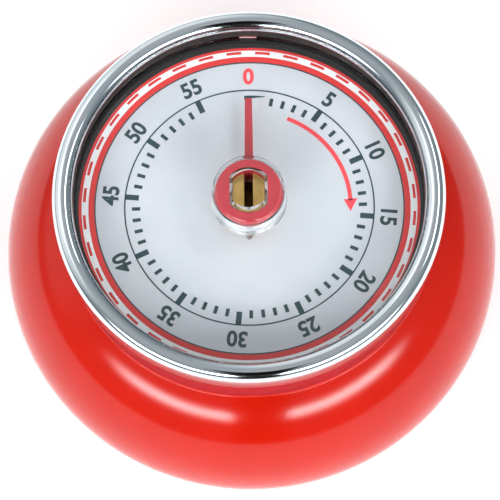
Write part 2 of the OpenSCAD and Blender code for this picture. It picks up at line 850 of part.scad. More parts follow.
module escape_wheel() {
    pitch = 360 / escape_n;
    color([0.8, 0.66, 0.35]) at(escape_p, escape_z) linear_extrude(escape_t) difference() {
        polygon([for (i = [0:escape_n - 1]) for (p = [[escape_r - 1.1, 0], [escape_r, 0.52],
            [escape_r, 0.64], [escape_r - 1.1, 0.7]]) polar(p[0], pitch * (i + p[1]))]);
        circle(r = flat_bore(arbor_r), $fn = flat_sided);
        for (i = [0:3]) polygon(window_points(1.7, escape_r - 2, 4, i));
    }
}

// ---- Escapement lever and balance ----

function pallet_pin_p(side) =
    escape_p + polar(pallet_pin_c, heading(escape_p, pallet_p) + side * pallet_span);

module pallet_arbor() {
    color("silver") at(pallet_p) arbor();
}

module pallet_lever() {
    color("silver") difference() {
        union() {
            for (side = [-1, 1])
                bar(pallet_p, pallet_pin_p(side), 1.2, pallet_z, pallet_t);
            at(pallet_p, pallet_z) cylinder(r = 1.4, h = pallet_t);
        }
        at(pallet_p) rod(arbor_r, pallet_z - 1, pallet_z + pallet_t + 1);
    }
}

module pallet_pins() {
    color("dimgray") for (side = [-1, 1]) at(pallet_pin_p(side))
        rod(pallet_pin_r, escape_z - 0.4, pallet_z);
}

// Weighted bar whose swing sets the rate
module balance_bar() {
    end = polar(balance_r - balance_weight_r, pallet_a + 90);
    color([0.8, 0.66, 0.35]) difference() {
        union() {
            bar(pallet_p - end, pallet_p + end, 1.4, balance_z, balance_t);
            for (side = [-1, 1]) at(pallet_p + side * end, balance_z)
                cylinder(r = balance_weight_r, h = 1.5 * balance_t);
            at(pallet_p, balance_z) cylinder(r = 1.3, h = balance_t);
        }
        at(pallet_p) rod(arbor_r, balance_z - 1, balance_z + balance_t + 1);
    }
}

// ---- Strike work ----

module lever_post(p) {
    at(p) {
        rod(post_r, strike_z - post_play, back_top);
        rod(post_head_r, strike_z - post_play - post_head_t, strike_z - post_play);
    }
}

module trip_post() {
    color("silver") lever_post(trip_p);
}

// Lever whose nose rides on the snail and whose finger stands behind the hammer's tail
module trip_lever() {
    color("gray") difference() {
        union() {
            at(trip_p, strike_z) cylinder(r = lever_hub_r, h = strike_t);
            bar(trip_p, nose_p, 2 * nose_r, strike_z, strike_t);
            bar(trip_p, finger_p, lever_w, strike_z, strike_t);
        }
        at(trip_p) rod(post_r + fit_gap, strike_z - 1, strike_z + strike_t + 1);
    }
}

module hammer_post() {
    color("silver") lever_post(hammer_p);
}

module hammer_lever() {
    color("gray") difference() {
        union() {
            at(hammer_p, strike_z) cylinder(r = lever_hub_r, h = strike_t);
            bar(hammer_p, hammer_head_p, lever_w, strike_z, strike_t);
            bar(hammer_p, hammer_p + polar(hammer_tail_l, hammer_tail_a), lever_w, strike_z, strike_t);
        }
        at(hammer_p) rod(post_r + fit_gap, strike_z - 1, strike_z + strike_t + 1);
        at(hammer_head_p) rod(rivet_r, strike_z - 1, strike_z + strike_t + 1);
    }
}

// Brass weight that hangs into the bell's mouth, riveted to the lever
module hammer_head() {
    color([0.8, 0.66, 0.35]) at(hammer_head_p) {
        rod(hammer_head_r, bell_rim_z - hammer_dip, strike_z);
        rod(rivet_r, strike_z, strike_z + strike_t);
    }
}

// Wire that leans on a lever from a foot riveted in the back plate
module return_spring(foot, tip) {
    z = strike_z + (strike_t - spring_wire) / 2;
    at(foot) rod(spring_foot_r, z, back_top);
    bar(foot, tip, spring_wire, z, spring_wire);
}

module hammer_spring() {
    color("dimgray") return_spring(hammer_spring_foot, hammer_spring_tip);
}

module trip_spring() {
    color("dimgray") return_spring(trip_spring_foot, trip_spring_tip);
}

body_shell();
back_cover();
cover_screws();
magnet();
magnet_backing();
bell();
bell_screw();
bezel();
lens();
lens_clip();
pointer();
dial();
front_plate();
back_plate();
pillars();
pillar_nuts();
plate_screws();
stop_pin();
spindle();
stop_finger();
mainspring();
great_wheel();
clutch_washer();
clutch_clip();
trip_cam();
second_arbor();
second_pinion();
second_wheel();
strike_wheel();
third_arbor();
third_pinion();
third_wheel();
escape_arbor();
escape_pinion();
escape_wheel();
pallet_arbor();
pallet_lever();
pallet_pins();
balance_bar();
trip_post();
trip_lever();
hammer_post();
hammer_lever();
hammer_head();
hammer_spring();
trip_spring();
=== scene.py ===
"""Looks of a wind-up kitchen timer: enamelled case, chrome bezel, printed dial and clear lens."""

import json
import math

import bmesh
import bpy
from mathutils import Matrix, Quaternion, Vector


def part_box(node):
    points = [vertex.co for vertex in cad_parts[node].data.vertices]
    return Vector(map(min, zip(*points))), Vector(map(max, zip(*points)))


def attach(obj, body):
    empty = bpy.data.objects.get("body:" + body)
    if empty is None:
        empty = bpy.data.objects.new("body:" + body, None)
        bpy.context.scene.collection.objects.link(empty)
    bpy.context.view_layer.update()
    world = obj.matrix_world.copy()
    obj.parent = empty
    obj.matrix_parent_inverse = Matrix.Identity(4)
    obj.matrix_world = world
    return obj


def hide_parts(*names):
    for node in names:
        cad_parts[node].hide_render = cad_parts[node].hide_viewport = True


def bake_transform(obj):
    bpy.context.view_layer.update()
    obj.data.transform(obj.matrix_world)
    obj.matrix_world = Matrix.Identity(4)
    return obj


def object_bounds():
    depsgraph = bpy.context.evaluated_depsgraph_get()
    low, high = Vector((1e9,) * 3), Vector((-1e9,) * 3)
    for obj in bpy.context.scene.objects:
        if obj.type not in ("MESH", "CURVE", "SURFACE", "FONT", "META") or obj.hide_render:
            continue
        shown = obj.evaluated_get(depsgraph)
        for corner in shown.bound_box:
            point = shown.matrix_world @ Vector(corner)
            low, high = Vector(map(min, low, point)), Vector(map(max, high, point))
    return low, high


MM = 0.001

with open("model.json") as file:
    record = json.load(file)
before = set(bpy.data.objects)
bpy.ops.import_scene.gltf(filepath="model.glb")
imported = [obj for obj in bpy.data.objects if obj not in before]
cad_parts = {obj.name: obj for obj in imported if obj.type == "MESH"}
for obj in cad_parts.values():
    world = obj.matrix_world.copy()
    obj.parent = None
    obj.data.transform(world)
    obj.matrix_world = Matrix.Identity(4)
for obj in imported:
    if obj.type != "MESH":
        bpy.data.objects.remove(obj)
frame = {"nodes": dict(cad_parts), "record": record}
cad_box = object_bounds()


def top(node):
    """Height of a node's highest point, in mm."""
    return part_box(node)[1].z / MM


def bottom(node):
    """Height of a node's lowest point, in mm."""
    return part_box(node)[0].z / MM


def reach(node):
    """Outer radius of a round node on the axis, in mm."""
    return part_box(node)[1].x / MM


# ---- Camera ----

AIM = Vector((0, 0, 13.6)) * MM
CAMERA_HEIGHT = math.radians(70.7)
CAMERA_SIDE = math.radians(2.4)
CAMERA_DISTANCE = 0.5895
CAMERA_LEAN = math.radians(-3.0)
CAMERA_SHIFT = (-0.0035, 0.0025)
CAMERA_LENS = 295.2

towards_camera = Vector(
    (
        math.sin(CAMERA_SIDE) * math.cos(CAMERA_HEIGHT),
        -math.cos(CAMERA_SIDE) * math.cos(CAMERA_HEIGHT),
        math.sin(CAMERA_HEIGHT),
    )
)
camera = bpy.data.objects.new("camera", bpy.data.cameras.new("camera"))
camera.location = AIM + towards_camera * CAMERA_DISTANCE
camera.rotation_mode = "QUATERNION"
camera.rotation_quaternion = towards_camera.to_track_quat("Z", "Y") @ Quaternion(
    (0, 0, 1), CAMERA_LEAN
)
camera.data.sensor_width = 36
camera.data.lens = CAMERA_LENS
camera.data.shift_x = CAMERA_SHIFT[0]
camera.data.shift_y = CAMERA_SHIFT[1]
camera.data.clip_start = 0.01
bpy.context.scene.collection.objects.link(camera)
bpy.context.scene.camera = camera


# ---- Shader maths ----


class Value:
    """A shader socket that Python's arithmetic acts on."""

    def __init__(self, finish, socket):
        self.finish, self.socket = finish, socket

    def maths(self, operation, *others):
        inputs = {i: v for i, v in enumerate((self,) + others)}
        return self.finish.node("ShaderNodeMath", {"operation": operation}, inputs)[0]

    def __add__(self, other):
        return self.maths("ADD", other)

    def __rsub__(self, other):
        return self.maths("MULTIPLY_ADD", -1.0, other)

    def __mul__(self, other):
        return self.maths("MULTIPLY", other)

    def __truediv__(self, other):
        return self.maths("DIVIDE", other)

    __radd__ = __add__

    def over(self, low, high):
        """0 below low, 1 above high, smooth between."""
        return self.finish.node(
            "ShaderNodeMapRange",
            {"interpolation_type": "SMOOTHSTEP"},
            {"Value": self, "From Min": low, "From Max": high},
        )[0]


class Finish:
    """A material and the nodes that give it its grain, wear and gloss."""

    def __init__(self, name, owner=None):
        self.material = owner or bpy.data.materials.new(name)
        self.material.use_nodes = True
        self.tree = self.material.node_tree
        self.tree.nodes.clear()
        self.coordinates = self.node("ShaderNodeTexCoord")
        self.place = self.coordinates["Object"]

    def node(self, kind, settings=None, inputs=None):
        """Adds a node: its settings first, then the values or links of its sockets."""
        made = self.tree.nodes.new(kind)
        for key, value in (settings or {}).items():
            if key == "stops":
                for stop in range(2, len(value)):
                    made.color_ramp.elements.new(value[stop][0])
                for element, (where, colour) in zip(made.color_ramp.elements, value):
                    element.position, element.color = where, tuple(colour) + (1,)
            else:
                setattr(made, key, value)
        for key, value in (inputs or {}).items():
            if isinstance(value, Value):
                self.tree.links.new(value.socket, made.inputs[key])
            elif value is not None:
                if isinstance(value, (tuple, list)) and len(value) == 3:
                    value = tuple(value) + ((1,) if made.inputs[key].type == "RGBA" else ())
                made.inputs[key].default_value = value
        return Outputs(self, made)

    def parts(self):
        """x, y and z of the place on the piece, in mm."""
        split = self.node("ShaderNodeSeparateXYZ", None, {0: self.place})
        return [split[i] / MM for i in range(3)]

    def around(self):
        """Distance from the axis in mm, and the angle about it in radians."""
        x, y, z = self.parts()
        return (x * x + y * y).maths("SQRT"), y.maths("ARCTAN2", x), z

    def noise(self, size_mm, detail=2.0, rough=0.5, place=None):
        """Soft noise whose blots are about size_mm across."""
        return self.node(
            "ShaderNodeTexNoise",
            {"noise_dimensions": "3D"},
            {
                "Vector": place or self.place,
                "Scale": 1 / (size_mm * MM),
                "Detail": detail,
                "Roughness": rough,
            },
        )["Fac"]

    def stretched(self, sizes_mm):
        """The place on the piece, scaled so that noise comes out as long as sizes_mm each way."""
        return self.node(
            "ShaderNodeVectorMath",
            {"operation": "MULTIPLY"},
            {0: self.place, 1: tuple(1 / (s * MM) for s in sizes_mm)},
        )["Vector"]

    def polished_rings(self, pitch_mm):
        """Noise in fine rings about the axis, as a lathe or a buffing wheel leaves."""
        r, angle, z = self.around()
        at = self.node(
            "ShaderNodeCombineXYZ",
            None,
            {0: r / pitch_mm, 1: z / pitch_mm, 2: angle * 0.6},
        )[0]
        return self.node(
            "ShaderNodeTexNoise", {}, {"Vector": at, "Scale": 1.0, "Detail": 3.0}
        )["Fac"]

    def specks(self, size_mm, share):
        """1 on small scattered specks, 0 elsewhere."""
        cells = self.node(
            "ShaderNodeTexVoronoi",
            {"feature": "F1"},
            {"Vector": self.place, "Scale": 1 / (size_mm * MM)},
        )["Distance"]
        return 1 - cells.over(share * 0.6, share)

    def mix(self, factor, first, second):
        return self.node(
            "ShaderNodeMix",
            {"data_type": "RGBA"},
            {"Factor": factor, "A": first, "B": second},
        )["Result"]

    def bump(self, height, depth_mm, strength):
        return self.node(
            "ShaderNodeBump",
            {},
            {"Height": height, "Distance": depth_mm * MM, "Strength": strength},
        )["Normal"]

    def surface(self, shader):
        out = self.node("ShaderNodeOutputMaterial")
        self.tree.links.new(shader.socket, out.made.inputs["Surface"])
        return self.material

    def principled(self, **inputs):
        """A Principled shader; Base_Color stands for the socket named Base Color."""
        named = {k.replace("_", " "): v for k, v in inputs.items()}
        return self.node("ShaderNodeBsdfPrincipled", {}, named)[0]


class Outputs:
    """The output sockets of one node, by name or number."""

    def __init__(self, finish, made):
        self.finish, self.made = finish, made

    def __getitem__(self, key):
        if isinstance(key, str):
            found = [s for s in self.made.outputs if s.name == key and s.enabled]
            return Value(self.finish, found[0])
        return Value(self.finish, self.made.outputs[key])


def linear(hex_colour):
    """Linear colour of an sRGB hex string."""
    parts = [int(hex_colour[i : i + 2], 16) / 255 for i in (0, 2, 4)]
    return tuple(p / 12.92 if p <= 0.04045 else ((p + 0.055) / 1.055) ** 2.4 for p in parts)


def darker(colour, share):
    return tuple(c * share for c in colour)


# ---- Finishes ----

PEBBLE_SIZE = 0.35


def red_enamel(name, hex_colour):
    """Glossy stoved enamel with faint orange peel and a few dull specks."""
    f = Finish(name)
    base = linear(hex_colour)
    cloud = f.noise(9.0, 3.0)
    colour = f.mix(cloud.over(0.35, 0.7), base, darker(base, 0.94))
    rough = 0.10 + f.noise(3.0, 4.0) * 0.06 + f.specks(1.9, 0.07) * 0.12
    peel = f.bump(f.noise(1.1, 2.0) + f.noise(5.0) * 2.0, 0.003, 0.4)
    return f.surface(
        f.principled(
            Base_Color=colour,
            Roughness=rough,
            Specular_IOR_Level=0.34,
            Coat_Weight=0.08,
            Coat_Roughness=0.03,
            Normal=peel,
        )
    )


def polished_chrome():
    """Buffed chrome: fine rings, thin haze and stray scratches."""
    f = Finish("polished_chrome")
    rings = f.polished_rings(0.12)
    haze = f.noise(9.0, 2.0)
    scratch = f.noise(1.0, 2.0, place=f.stretched((4.0, 0.12, 4.0)))
    rough = 0.06 + rings * 0.06 + haze.over(0.4, 0.9) * 0.03 + scratch.over(0.68, 0.76) * 0.04
    colour = f.mix(haze.over(0.3, 0.8), linear("E4EBEF"), linear("DBE4E9"))
    return f.surface(
        f.principled(
            Base_Color=colour,
            Metallic=1.0,
            Roughness=rough,
            Normal=f.bump(rings, 0.002, 0.3),
        )
    )


def dark_wall():
    """Painted shade on the inner wall of the bezel: dark, with paler turning marks."""
    f = Finish("bezel_inner_wall")
    z = f.around()[2]
    rings = f.node(
        "ShaderNodeTexNoise",
        {"noise_dimensions": "1D"},
        {"W": z, "Scale": 2.4, "Detail": 4.0, "Roughness": 0.6},
    )["Fac"]
    blot = f.noise(2.5, 3.0)
    colour = f.node(
        "ShaderNodeValToRGB",
        {
            "stops": [
                (0.30, linear("030606")),
                (0.48, linear("0A1110")),
                (0.60, linear("241815")),
                (0.78, linear("383432")),
            ]
        },
        {0: rings * 0.75 + blot * 0.25},
    )["Color"]
    return f.surface(
        f.principled(
            Base_Color=colour,
            Metallic=0.1,
            Roughness=0.38 + rings * 0.2,
            Specular_IOR_Level=0.35,
            Normal=f.bump(rings, 0.02, 0.5),
        )
    )


def clear_plastic():
    """Clear moulding with light scuffs; lamps shine through it without a hard shadow."""
    f = Finish("clear_plastic")
    marks = f.noise(1.0, 3.0, place=f.stretched((6.0, 0.2, 6.0)))
    rough = 0.01 + marks.over(0.66, 0.8) * 0.05 + f.specks(2.3, 0.05) * 0.2
    glass = f.principled(
        Base_Color=(1, 1, 1),
        Roughness=rough,
        IOR=1.46,
        Transmission_Weight=1.0,
        Normal=f.bump(f.noise(4.0), 0.003, 0.25),
    )
    lamps = f.node("ShaderNodeBsdfTransparent", {}, {0: (0.96, 0.965, 0.96)})[0]
    shadow = f.node("ShaderNodeLightPath")["Is Shadow Ray"]
    return f.surface(f.node("ShaderNodeMixShader", {}, {0: shadow, 1: glass, 2: lamps})[0])


def red_plastic():
    """Moulded plastic with faint flow streaks."""
    f = Finish("red_plastic")
    base = linear("B42D39")
    flow = f.noise(2.2, 3.0, place=f.stretched((1.0, 5.0, 1.0)))
    return f.surface(
        f.principled(
            Base_Color=f.mix(flow, base, darker(base, 0.8)),
            Roughness=0.28 + f.noise(0.7, 2.0) * 0.15,
            Normal=f.bump(f.noise(0.4, 3.0), 0.01, 0.4),
        )
    )


def printed_ink(name, hex_colour, worn=0.85):
    """Screen-printed ink, worn darker in places."""
    f = Finish(name)
    base = linear(hex_colour)
    screen = f.noise(0.35, 4.0, 0.7)
    return f.surface(
        f.principled(
            Base_Color=f.mix(screen.over(0.35, 0.75), base, darker(base, worn)),
            Roughness=0.42 + screen * 0.15,
            Specular_IOR_Level=0.35,
            Normal=f.bump(screen, 0.004, 0.3),
        )
    )


def silver_paint():
    """Pale metallic paint with fine flake."""
    f = Finish("silver_paint")
    flake = f.noise(0.09, 2.0, 0.7)
    cloud = f.noise(14.0, 2.0)
    colour = f.mix(cloud.over(0.3, 0.7), linear("CACFD6"), linear("C1C8D0"))
    colour = f.mix(flake.over(0.5, 0.72) * 0.25, colour, linear("EEF1F4"))
    return f.surface(
        f.principled(
            Base_Color=colour,
            Metallic=0.12,
            Roughness=0.38 + flake * 0.2,
            Normal=f.bump(flake, 0.003, 0.3),
        )
    )


def metal(name, light, dark, rough, grain_mm, tarnish=0.5, turned=True):
    """Machined or rolled metal: grain, dull patches and darker blots."""
    f = Finish(name)
    if turned:
        grain = f.polished_rings(grain_mm)
    else:
        grain = f.noise(1.0, 3.0, place=f.stretched((grain_mm, 3.0, 3.0)))
    patch = f.noise(2.5, 4.0, 0.6)
    colour = f.mix(patch.over(0.45, 0.8) * tarnish, linear(light), linear(dark))
    return f.surface(
        f.principled(
            Base_Color=colour,
            Metallic=1.0,
            Roughness=rough + grain * 0.18 + patch.over(0.5, 0.8) * 0.12,
            Normal=f.bump(grain, 0.006, 0.4),
        )
    )


def black_plastic():
    """Moulded plastic with a fine pebbled skin, paler where it has rubbed."""
    f = Finish("black_plastic")
    pebble = f.node(
        "ShaderNodeTexVoronoi",
        {"feature": "SMOOTH_F1"},
        {"Vector": f.place, "Scale": 1 / (PEBBLE_SIZE * MM)},
    )["Distance"]
    rub = f.noise(6.0, 4.0)
    return f.surface(
        f.principled(
            Base_Color=f.mix(rub.over(0.5, 0.8), linear("17181A"), linear("26282B")),
            Roughness=0.42 + rub * 0.2,
            Specular_IOR_Level=0.45,
            Normal=f.bump(pebble, 0.02, 0.45),
        )
    )


def ferrite():
    """Ground magnet: gritty, with the grinder's strokes."""
    f = Finish("ferrite")
    grain = f.noise(0.25, 4.0, 0.7)
    grind = f.noise(1.0, 2.0, place=f.stretched((0.15, 5.0, 5.0)))
    return f.surface(
        f.principled(
            Base_Color=f.mix(grain.over(0.4, 0.7), linear("3B3B3D"), linear("56565A")),
            Metallic=0.3,
            Roughness=0.55 + grind * 0.2,
            Normal=f.bump(grain + grind, 0.01, 0.5),
        )
    )


RED = red_enamel("red_enamel", "CC1D0B")
# The duller, pinker red of the neck is painted shade from the bezel and painted reflection of its
# chrome.
NECK_RED_PAINTED_SHADE = red_enamel("neck_enamel", "BE2E38")
CHROME = polished_chrome()
# The bezel's inner wall is painted dark: painted shade in the well.
SHADE_WALL = dark_wall()
CLEAR = clear_plastic()
POINTER_RED = red_plastic()
SILVER = silver_paint()
INK_DARK = printed_ink("ink_dark", "123B40", 0.7)
INK_RED = printed_ink("ink_red", "E02B2A")
# Near-black ink for the ring of painted shade at the dial's rim.
INK_BLACK_PAINTED_SHADE = printed_ink("ink_black", "101615", 0.6)
INK_ROSE = printed_ink("ink_rose", "F0424B")
INK_WHITE = printed_ink("ink_white", "F1F4F7", 0.95)
BRASS = metal("turned_brass", "DDB973", "A97B33", 0.26, 0.10)
# Near-black brass for the slot's walls and floor is painted shade.
SLOT_BRASS_PAINTED_SHADE = metal("slot_brass", "4A3618", "0E0A06", 0.3, 0.3, 0.9, turned=False)
PLATE_BRASS = metal("rolled_brass", "D9BE78", "A2803C", 0.22, 0.12, 0.6, turned=False)
STEEL = metal("bright_steel", "C9CBCC", "7E8083", 0.2, 0.10)
BLUED = metal("blued_steel", "38486A", "1D2438", 0.25, 0.15, 0.7)
NICKEL = metal("nickel", "D8D8D4", "9C9A92", 0.10, 0.16, 0.35)
# Near-black wire for the lens clip is painted shade, carrying on the dark ring at the dial's rim.
BLACKENED_PAINTED_SHADE = metal("blackened_wire", "16191A", "090A0A", 0.42, 0.10, 0.5)
BLACK = black_plastic()
FERRITE = ferrite()

FINISH_OF_SLOT = {
    "case_enamel": RED,
    "black_plastic": BLACK,
    "chrome": CHROME,
    "clear_lens": CLEAR,
    "pointer_red": POINTER_RED,
    "dial_silver": SILVER,
    "plate_brass": PLATE_BRASS,
    "brass": BRASS,
    "steel": STEEL,
    "blued_steel": BLUED,
    "bell_nickel": NICKEL,
    "ferrite": FERRITE,
}


# ---- Making pieces ----

BODY_OF = {n: b for b, nodes in frame["record"]["behaviour"]["bodies"].items() for n in nodes}
SLOT_OF = {s["node"]: s["material_slot"] for s in frame["record"]["subparts"]}


def piece(name, bm, node, finishes, crease, rides=True):
    """Turns a mesh in mm into a piece with the finishes given, which rides with the node's body.

    Edges that turn by more than crease degrees stay sharp; with rides False the piece is left free
    of any body.
    """
    mesh = bpy.data.meshes.new(name)
    bmesh.ops.transform(bm, matrix=Matrix.Scale(MM, 4), verts=bm.verts)
    bm.to_mesh(mesh)
    bm.free()
    for finish in finishes:
        mesh.materials.append(finish)
    mesh.shade_smooth()
    mesh.set_sharp_from_angle(angle=math.radians(crease))
    made = bpy.data.objects.new(name, mesh)
    bpy.context.scene.collection.objects.link(made)
    if rides:
        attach(made, BODY_OF[node])
    return made


def outline(corners):
    """Closed section through a turned piece, from (radius, height) or (radius, height, round)."""
    bm = bmesh.new()
    ring = [bm.verts.new((c[0], 0, c[1])) for c in corners]
    for first, second in zip(ring, ring[1:] + ring[:1]):
        bm.edges.new((first, second))
    for vertex, corner in zip(ring, corners):
        if len(corner) > 2:
            bmesh.ops.bevel(
                bm,
                geom=[vertex],
                offset=corner[2],
                offset_type="OFFSET",
                segments=6,
                profile=0.5,
                affect="VERTICES",
                material=-1,
                clamp_overlap=True,
            )
    return bm


def sweep_round(bm, steps):
    """Spins the section once about the axis and closes it."""
    bmesh.ops.spin(
        bm,
        geom=bm.verts[:] + bm.edges[:],
        cent=(0, 0, 0),
        axis=(0, 0, 1),
        angle=math.tau,
        steps=steps,
        use_merge=True,
        use_duplicate=False,
    )
    bmesh.ops.remove_doubles(bm, verts=bm.verts, dist=1e-4)
    bmesh.ops.recalc_face_normals(bm, faces=bm.faces)
    return bm


def arc(bm, start, centre, degrees, steps):
    """Continues a section from the vertex start round a centre; turns left when degrees > 0."""
    swept = bmesh.ops.spin(
        bm,
        geom=[start],
        cent=(centre[0], 0, centre[1]),
        axis=(0, 1, 0),
        angle=math.radians(-degrees),
        steps=steps,
        use_merge=False,
        use_duplicate=False,
    )
    return swept["geom_last"][0]


def line(bm, start, to):
    """Continues a section from the vertex start straight to (radius, height)."""
    end = bm.verts.new((to[0], 0, to[1]))
    bm.edges.new((start, end))
    return end


def cut_out(bm, cutter_bm):
    """Takes a cutter's shape out of a mesh with an exact boolean."""
    target, cutter = bpy.data.meshes.new("target"), bpy.data.meshes.new("cutter")
    bm.to_mesh(target)
    cutter_bm.to_mesh(cutter)
    body = bpy.data.objects.new("target", target)
    tool = bpy.data.objects.new("cutter", cutter)
    for o in (body, tool):
        bpy.context.scene.collection.objects.link(o)
    modifier = body.modifiers.new("cut", "BOOLEAN")
    modifier.operation, modifier.solver, modifier.object = "DIFFERENCE", "EXACT", tool
    bpy.context.view_layer.update()
    done = body.evaluated_get(bpy.context.evaluated_depsgraph_get())
    bm.clear()
    bm.from_mesh(done.to_mesh())
    done.to_mesh_clear()
    for o in (body, tool):
        bpy.data.objects.remove(o)
    for m in (target, cutter):
        bpy.data.meshes.remove(m)
    cutter_bm.free()
    return bm


def block(x1, x2, y1, y2, z1, z2):
    """Box between two corners."""
    bm = bmesh.new()
    bmesh.ops.create_cube(bm, size=1)
    bmesh.ops.scale(bm, vec=(x2 - x1, y2 - y1, z2 - z1), verts=bm.verts)
    bmesh.ops.translate(bm, vec=((x1 + x2) / 2, (y1 + y2) / 2, (z1 + z2) / 2), verts=bm.verts)
    return bm


def add(bm, other):
    """Puts another mesh into bm as it stands."""
    mesh = bpy.data.meshes.new("part")
    other.to_mesh(mesh)
    other.free()
    bm.from_mesh(mesh)
    bpy.data.meshes.remove(mesh)
    return bm


def bevel_edges(bm, width, sharper_than):
    """Rounds each edge that turns by more than sharper_than degrees."""
    edges = [
        e
        for e in bm.edges
        if len(e.link_faces) == 2 and e.calc_face_angle() > math.radians(sharper_than)
    ]
    bmesh.ops.bevel(
        bm,
        geom=edges,
        offset=width,
        offset_type="OFFSET",
        segments=3,
        profile=0.5,
        affect="EDGES",
        material=-1,
        clamp_overlap=True,
    )
    return bm


# ---- Case ----

# The belly is widest at BELLY_Z. Its arc has that radius below and BELLY_R above, about centres
# that lie LOWER_C and UPPER_C from the axis.
BELLY_Z, BELLY_R, SEAM_Z, WALL_T = 13.6, 16.2, 3.5, 2.0
SEAM_LIP, SEAM_ROLL = 0.25, 1.2
CASE_R = reach("body_shell")
UPPER_C = CASE_R - BELLY_R
LOWER_C = CASE_R - BELLY_Z

# The bezel rolls over the neck with TURN_GAP on both sides, so that it can turn.
ROLL_R = 1.4
BEZEL_R = reach("bezel")
ROLL_Z = top("bezel") - ROLL_R
WELL_R = BEZEL_R - 2 * ROLL_R
BEZEL_WALL, TURN_GAP = 0.6, 0.35
NECK_R = BEZEL_R - BEZEL_WALL - TURN_GAP
NECK_IN_R = WELL_R + BEZEL_WALL + TURN_GAP
NECK_TOP = top("body_shell")
NECK_EDGE = 0.2
FILLET = 0.4
GROOVE, GROOVE_LIFT = 0.2, 0.08

# The dial lies on a shelf inside the neck.
SHELF_W, SHELF_T, SHELF_ROOT = 5.1, 1.5, 0.7
DIAL_TOP, DIAL_Z = top("dial"), bottom("dial")


def body_shell():
    """Glossy case: a deep arc over the belly, a fillet, and the neck that the bezel covers."""
    fillet_z = BELLY_Z + math.sqrt((BELLY_R + FILLET) ** 2 - (NECK_R + FILLET - UPPER_C) ** 2)
    join = math.degrees(math.atan2(fillet_z - BELLY_Z, NECK_R + FILLET - UPPER_C))
    seam_angle = math.degrees(math.asin((BELLY_Z - SEAM_Z) / BELLY_Z))
    low_angle = seam_angle - SEAM_ROLL
    bm = bmesh.new()
    start = bm.verts.new(
        (LOWER_C + BELLY_Z * math.cos(math.radians(seam_angle)) - SEAM_LIP, 0, SEAM_Z)
    )
    low = (
        LOWER_C + BELLY_Z * math.cos(math.radians(low_angle)),
        BELLY_Z - BELLY_Z * math.sin(math.radians(low_angle)),
    )
    v = line(bm, start, low)
    v = arc(bm, v, (LOWER_C, BELLY_Z), low_angle, 14)
    v = arc(bm, v, (UPPER_C, BELLY_Z), join, 26)
    v = arc(bm, v, (NECK_R + FILLET, fillet_z), -join, 8)
    groove_z = fillet_z + GROOVE_LIFT
    v = line(bm, v, (NECK_R - GROOVE, groove_z))
    v = line(bm, v, (NECK_R - GROOVE, groove_z + GROOVE))
    v = line(bm, v, (NECK_R, groove_z + GROOVE_LIFT + 2 * GROOVE))
    v = line(bm, v, (NECK_R, NECK_TOP - NECK_EDGE))
    v = line(bm, v, (NECK_R - NECK_EDGE, NECK_TOP))
    v = line(bm, v, (NECK_IN_R, NECK_TOP))
    v = line(bm, v, (NECK_IN_R, DIAL_Z))
    v = line(bm, v, (NECK_IN_R - SHELF_W, DIAL_Z))
    v = line(bm, v, (NECK_IN_R - SHELF_W, DIAL_Z - SHELF_T))
    root = NECK_IN_R - SHELF_ROOT
    inner = BELLY_R - WALL_T
    v = line(bm, v, (root, DIAL_Z - SHELF_T))
    meet = math.sqrt(inner**2 - (root - UPPER_C) ** 2)
    angle = math.degrees(math.atan2(meet, root - UPPER_C))
    v = line(bm, v, (root, BELLY_Z + meet))
    v = arc(bm, v, (UPPER_C, BELLY_Z), -angle, 20)
    down = math.degrees(math.asin((BELLY_Z - SEAM_Z) / (BELLY_Z - WALL_T)))
    v = arc(bm, v, (LOWER_C, BELLY_Z), -down, 12)
    bm.edges.new((v, start))
    sweep_round(bm, 256)
    # Faces on the neck take the red of painted shade and reflection.
    for face in bm.faces:
        middle = face.calc_center_median()
        on_neck = middle.z > fillet_z and math.hypot(middle.x, middle.y) > NECK_IN_R + 0.1
        face.material_index = int(on_neck)
    shell = piece("case_shell", bm, "body_shell", [RED, NECK_RED_PAINTED_SHADE], 40)
    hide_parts("body_shell")


body_shell()


# ---- Bezel ----

OUTER_SKIRT, SKIRT_EDGE, SKIRT_LIP = 2.4, 0.1, 0.12


def bezel():
    """Rolled chrome rim with a thin outer skirt and a deep inner one whose wall is painted dark as
    painted shade.
    """
    wall = BEZEL_WALL
    skirt_z = bottom("bezel")
    outer_z = ROLL_Z - OUTER_SKIRT
    bm = bmesh.new()
    start = bm.verts.new((BEZEL_R, 0, outer_z + SKIRT_LIP))
    v = line(bm, start, (BEZEL_R, ROLL_Z))
    v = arc(bm, v, (BEZEL_R - ROLL_R, ROLL_Z), 180, 40)
    v = line(bm, v, (WELL_R, skirt_z + SKIRT_EDGE))
    v = line(bm, v, (WELL_R + SKIRT_EDGE, skirt_z))
    v = line(bm, v, (WELL_R + wall - SKIRT_EDGE, skirt_z))
    v = line(bm, v, (WELL_R + wall, skirt_z + SKIRT_EDGE))
    v = line(bm, v, (WELL_R + wall, ROLL_Z))
    v = line(bm, v, (BEZEL_R - wall, ROLL_Z))
    v = line(bm, v, (BEZEL_R - wall, outer_z + SKIRT_EDGE))
    v = line(bm, v, (BEZEL_R - wall + SKIRT_LIP, outer_z))
    v = line(bm, v, (BEZEL_R - SKIRT_LIP, outer_z))
    bm.edges.new((v, start))
    sweep_round(bm, 256)
    # Faces of the inner wall below the roll take the dark painted shade.
    for face in bm.faces:
        middle = face.calc_center_median()
        face.material_index = int(
            math.hypot(middle.x, middle.y) < WELL_R + 0.05 and middle.z < ROLL_Z
        )
    ring = piece("bezel_ring", bm, "bezel", [CHROME, SHADE_WALL], 40)
    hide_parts("bezel")


bezel()


# ---- Lens, pointer and spindle ----

